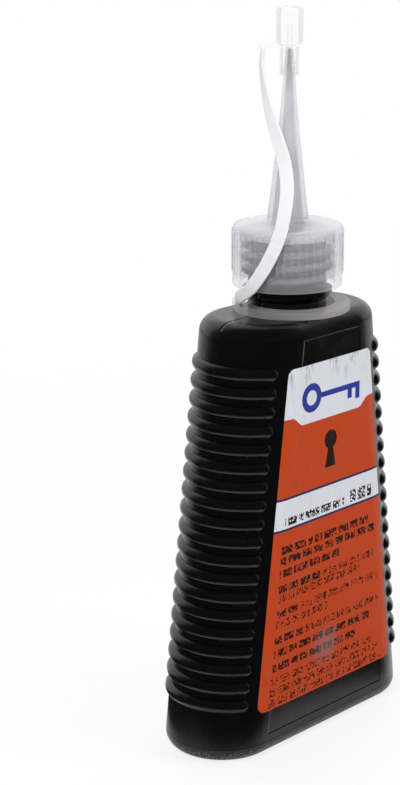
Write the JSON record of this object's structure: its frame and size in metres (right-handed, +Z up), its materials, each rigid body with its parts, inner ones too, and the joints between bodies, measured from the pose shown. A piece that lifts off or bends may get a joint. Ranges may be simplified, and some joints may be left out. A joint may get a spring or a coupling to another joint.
{
  "type": "powder squeeze bottle",
  "caption": "Black ribbed squeeze bottle for graphite lock powder, with a translucent screw-on spout cap and a captive tip cap on a strap.",
  "frame": {"origin": "middle of the foot rim's outline, on the floor", "axes": "+Z up along the neck axis, the label faces -Y, +X to the right of someone who reads the label"},
  "size_m": [0.0766, 0.0301, 0.1841],
  "materials": {
    "black_ldpe": "satin moulded",
    "natural_ldpe": "milky translucent moulded",
    "clear_ldpe": "clear moulded",
    "label_film": "printed satin",
    "seal_foam": "soft foam",
    "graphite": "loose dark powder with a metallic sheen"
  },
  "bodies": {
    "bottle": {"bottle": "black_ldpe", "graphite_powder": "graphite", "front_label": "label_film"},
    "neck_ring": {"neck_ring": "natural_ldpe", "tether_strap": "natural_ldpe"},
    "nozzle_cap": {"nozzle_cap": "natural_ldpe", "seal_washer": "seal_foam"},
    "tip_cap": {"tip_cap": "clear_ldpe"}
  },
  "joints": [
    {"name": "cap_turn", "type": "hinge", "parent": "bottle", "child": "neck_ring", "pos_m": [0, 0, 0.11], "axis": [0, 0, 1], "range_deg": [0, 450]},
    {"name": "cap_rise", "type": "slide", "parent": "neck_ring", "child": "nozzle_cap", "axis": [0, 0, 1], "range_m": [0, 0.00397], "deforming": ["tether_strap"]},
    {"name": "tip_cap_pull", "type": "slide", "parent": "nozzle_cap", "child": "tip_cap", "axis": [0, 0, 1], "range_m": [0, 0.0072], "deforming": ["tether_strap"]}
  ],
  "couplings": [
    {"joint": "cap_turn", "follows": "cap_rise", "rad_per_m": 1979}
  ]
}
